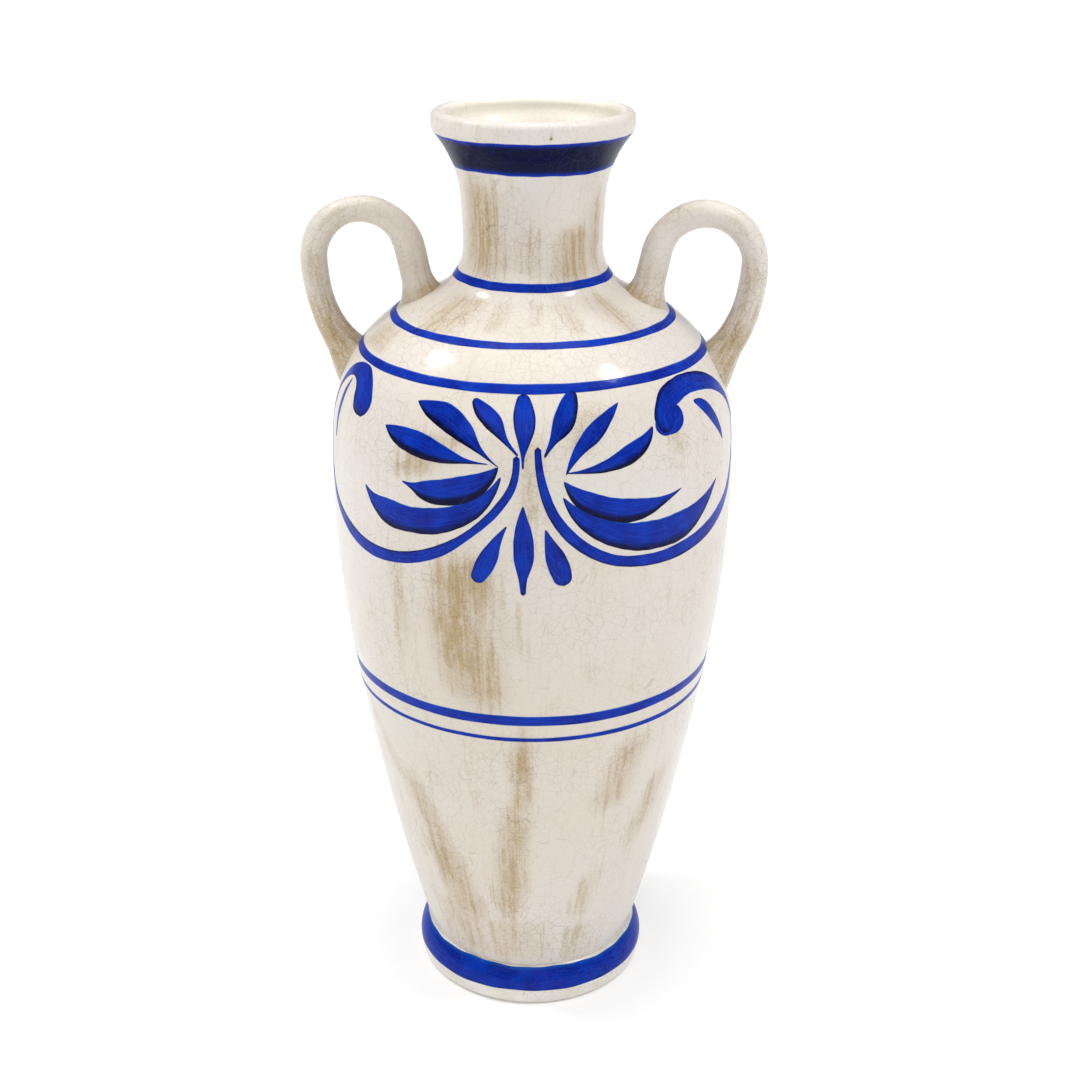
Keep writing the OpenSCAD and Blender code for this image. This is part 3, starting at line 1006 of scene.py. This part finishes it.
def cobalt(name, bright, deep, edge, violet):
    """Brushed cobalt under the same crackle: bright where it is thin, nearly black where it pooled."""
    n = Nodes(name)
    split = n.add("ShaderNodeSeparateXYZ")
    n.wire(n.read("paint").outputs["Vector"], split.inputs[0])
    pool = split.outputs[2]
    flow = n.add("ShaderNodeCombineXYZ")
    n.wire(n.math("MULTIPLY", split.outputs[0], 1.6), flow.inputs[0])
    n.wire(n.math("MULTIPLY", split.outputs[1], 0.10), flow.inputs[1])
    hairs = n.noise(flow.outputs[0], 1.0, 4.0, 0.65).outputs[0]
    blot = n.noise(n.place, 95, 3.0).outputs[0]
    load = n.weighted((hairs, 0.75), (blot, 0.55))
    colour = n.blend(n.spread(load, 0.42, 0.92), bright, deep)
    pooled = n.math("ADD", pool, n.math("MULTIPLY", n.math("SUBTRACT", load, 0.65), 0.5))
    colour = n.blend(n.spread(pooled, 0.08, 0.9), colour, edge)
    colour = n.blend(n.spread(pool, -0.9, -0.1, 0.7, 0.0), colour, THIN_BLUE)
    tinge = n.spread(n.noise(n.place, 60, 2).outputs[0], 0.54, 0.72, 0.0, 0.22)
    colour = n.blend(tinge, colour, violet)
    cracks = crack_marks(n)
    colour = n.blend(n.math("MULTIPLY", cracks, 0.12), colour, CRACK_BLUE)
    n.wire(colour, n.shader.inputs["Base Color"])
    gloss(n, 0.28, 0.13, 0.04)
    glaze_relief(n, cracks)
    return n.material


def foot_clay():
    """Glazed foot: thin pale glaze that stops short of the resting edge, where dry clay and grime show."""
    n = Nodes("foot_clay")
    split = n.add("ShaderNodeSeparateXYZ")
    n.wire(n.place, split.inputs[0])
    patch = n.noise(n.stretch(n.place, (90, 90, 260)), 1.0, 3.0).outputs[0]
    height = n.math("ADD", split.outputs[2], n.math("MULTIPLY", n.math("SUBTRACT", patch, 0.5), 1.6 * MM))
    dry = n.spread(height, 0.3 * MM, 1.2 * MM, 1.0, 0.0)
    colour = n.blend(n.spread(patch, 0.3, 0.75), FOOT_GLAZE, FOOT_STAINED)
    colour = n.blend(n.math("MULTIPLY", dry, 0.8), colour, DRY_CLAY)
    colour = n.blend(n.math("MULTIPLY", crack_marks(n), 0.35), colour, DARK_UMBER)
    n.wire(colour, n.shader.inputs["Base Color"])
    n.wire(n.spread(dry, 0.0, 1.0, 0.3, 0.8), n.shader.inputs["Roughness"])
    n.shader.inputs["IOR"].default_value = 1.5
    n.shader.inputs["Coat Weight"].default_value = 0.4
    n.shader.inputs["Coat Roughness"].default_value = 0.1
    n.relief(n.noise(n.place, 900, 3.0).outputs[0], 0.25, 0.1 * MM)
    return n.material


# ---------------------------------------------------------------- studio

# Where the photographer stood, in metres, and how the camera was turned.
CAMERA_AWAY = 0.6393
CAMERA_UP = 0.44865
CAMERA_BEARING = 3.5
CAMERA_PITCH = 21.52
CAMERA_ROLL = 0.19
LENS = 57.2
SHIFT = (0.0075, -0.0148)
FLOOR_HALF = 12      # half the floor's width, in metres


def camera():
    """The camera, which looks down a little at the front."""
    data = bpy.data.cameras.new("camera")
    data.lens = LENS
    data.sensor_width = 36
    data.shift_x, data.shift_y = SHIFT
    data.clip_start = 0.01
    data.clip_end = 50
    obj = bpy.data.objects.new("camera", data)
    scene.collection.objects.link(obj)
    bearing = math.radians(CAMERA_BEARING)
    place = Vector((CAMERA_AWAY * math.sin(bearing), -CAMERA_AWAY * math.cos(bearing), CAMERA_UP))
    turn = Matrix.Rotation(bearing, 4, "Z") @ Matrix.Rotation(math.radians(90 - CAMERA_PITCH), 4, "X")
    obj.matrix_world = Matrix.Translation(place) @ turn @ Matrix.Rotation(math.radians(CAMERA_ROLL), 4, "Z")
    scene.camera = obj


def floor():
    """A white sweep that glows a little more the farther it lies from the lamps, so that it stays even."""
    square = np.array([(-1, -1, 0), (1, -1, 0), (1, 1, 0), (-1, 1, 0)])
    obj = new_object("floor", FLOOR_HALF * square, [(0, 1, 2, 3)])
    material = bpy.data.materials.new("floor")
    material.use_nodes = True
    shader = material.node_tree.nodes["Principled BSDF"]
    shader.inputs["Base Color"].default_value = (0.93, 0.93, 0.93, 1)
    shader.inputs["Roughness"].default_value = 0.9
    shader.inputs["Specular IOR Level"].default_value = 0.1
    shader.inputs["Emission Color"].default_value = (1, 1, 1, 1)
    nodes, links = material.node_tree.nodes, material.node_tree.links
    place = nodes.new("ShaderNodeTexCoord").outputs["Object"]
    away = nodes.new("ShaderNodeVectorMath")
    away.operation = "LENGTH"
    links.new(place, away.inputs[0])
    glow = nodes.new("ShaderNodeMapRange")
    for name, value in (("From Min", 0.3), ("From Max", 3.0), ("To Min", 0.20), ("To Max", 0.74)):
        glow.inputs[name].default_value = value
    links.new(away.outputs["Value"], glow.inputs["Value"])
    links.new(glow.outputs[0], shader.inputs["Emission Strength"])
    obj.data.materials.append(material)


def soft_box(name, place, target, width, height, power):
    """A square-cornered lamp that faces its target. Sizes are in metres and the power in watts."""
    data = bpy.data.lights.new(name, "AREA")
    data.shape = "RECTANGLE"
    data.size = width
    data.size_y = height
    data.energy = power
    obj = bpy.data.objects.new(name, data)
    scene.collection.objects.link(obj)
    obj.location = place
    obj.rotation_mode = "QUATERNION"
    obj.rotation_quaternion = (Vector(target) - Vector(place)).to_track_quat("-Z", "Y")


def studio():
    """Soft lamps on both sides, in front and above, and a pale surround."""
    world = bpy.data.worlds.new("studio")
    scene.world = world
    world.use_nodes = True
    surround = world.node_tree.nodes["Background"]
    surround.inputs["Color"].default_value = (0.97, 0.98, 1, 1)
    surround.inputs["Strength"].default_value = 0.36
    shoulder = (0, -0.04, 0.28)
    soft_box("left_box", (-0.95, 0.10, 1.46), shoulder, 0.28, 0.28, 8)
    soft_box("right_box", (0.92, -0.18, 1.50), shoulder, 0.28, 0.28, 7)
    soft_box("front_box", (-0.4, -1.9, 1.5), shoulder, 1.8, 1.0, 6)
    soft_box("top_box", (0, -0.1, 2.1), shoulder, 1.3, 1.3, 18)
    scene.view_settings.view_transform = "Standard"
    scene.view_settings.look = "None"


# ---------------------------------------------------------------- build

camera()
floor()
studio()

ivory = ivory_glaze()
blue = cobalt("cobalt_glaze", *COBALT)
navy = cobalt("navy_glaze", *NAVY)
clay = foot_clay()

foot(clay)
lower_body(ivory)
wall_piece("body_shoulder", SEAM_Z, THROAT_Z, 0.9 * MM, ivory, "shoulder")
wall_piece("neck_and_collar", THROAT_Z, COLLAR_Z, 0.9 * MM, ivory, "neck")
lip(ivory)
handle("handle_left", -1, ivory, ["left_handle", "left_inner_root", "left_outer_root"])
handle("handle_right", 1, ivory, ["right_handle", "right_inner_root", "right_outer_root"])

painted_band("band_foot", "foot_band", 7.1, 16.6, blue, 1.1, 0.5, foot_r)
for name, node, low_edge, high_edge, seed in PLAIN_BANDS:
    painted_band(name, node, low_edge, high_edge, blue, seed)
painted_band("band_collar", "collar_band", 340.2, 352.5, navy, 2.9, 0.4, outer_r, 0.9, 0)

for place, seeds, turn, mirror in FACES:
    for (group, strokes), seed in zip(MOTIF.items(), seeds):
        motif_piece(f"{place}_{group}", strokes, blue, seed, turn, mirror)
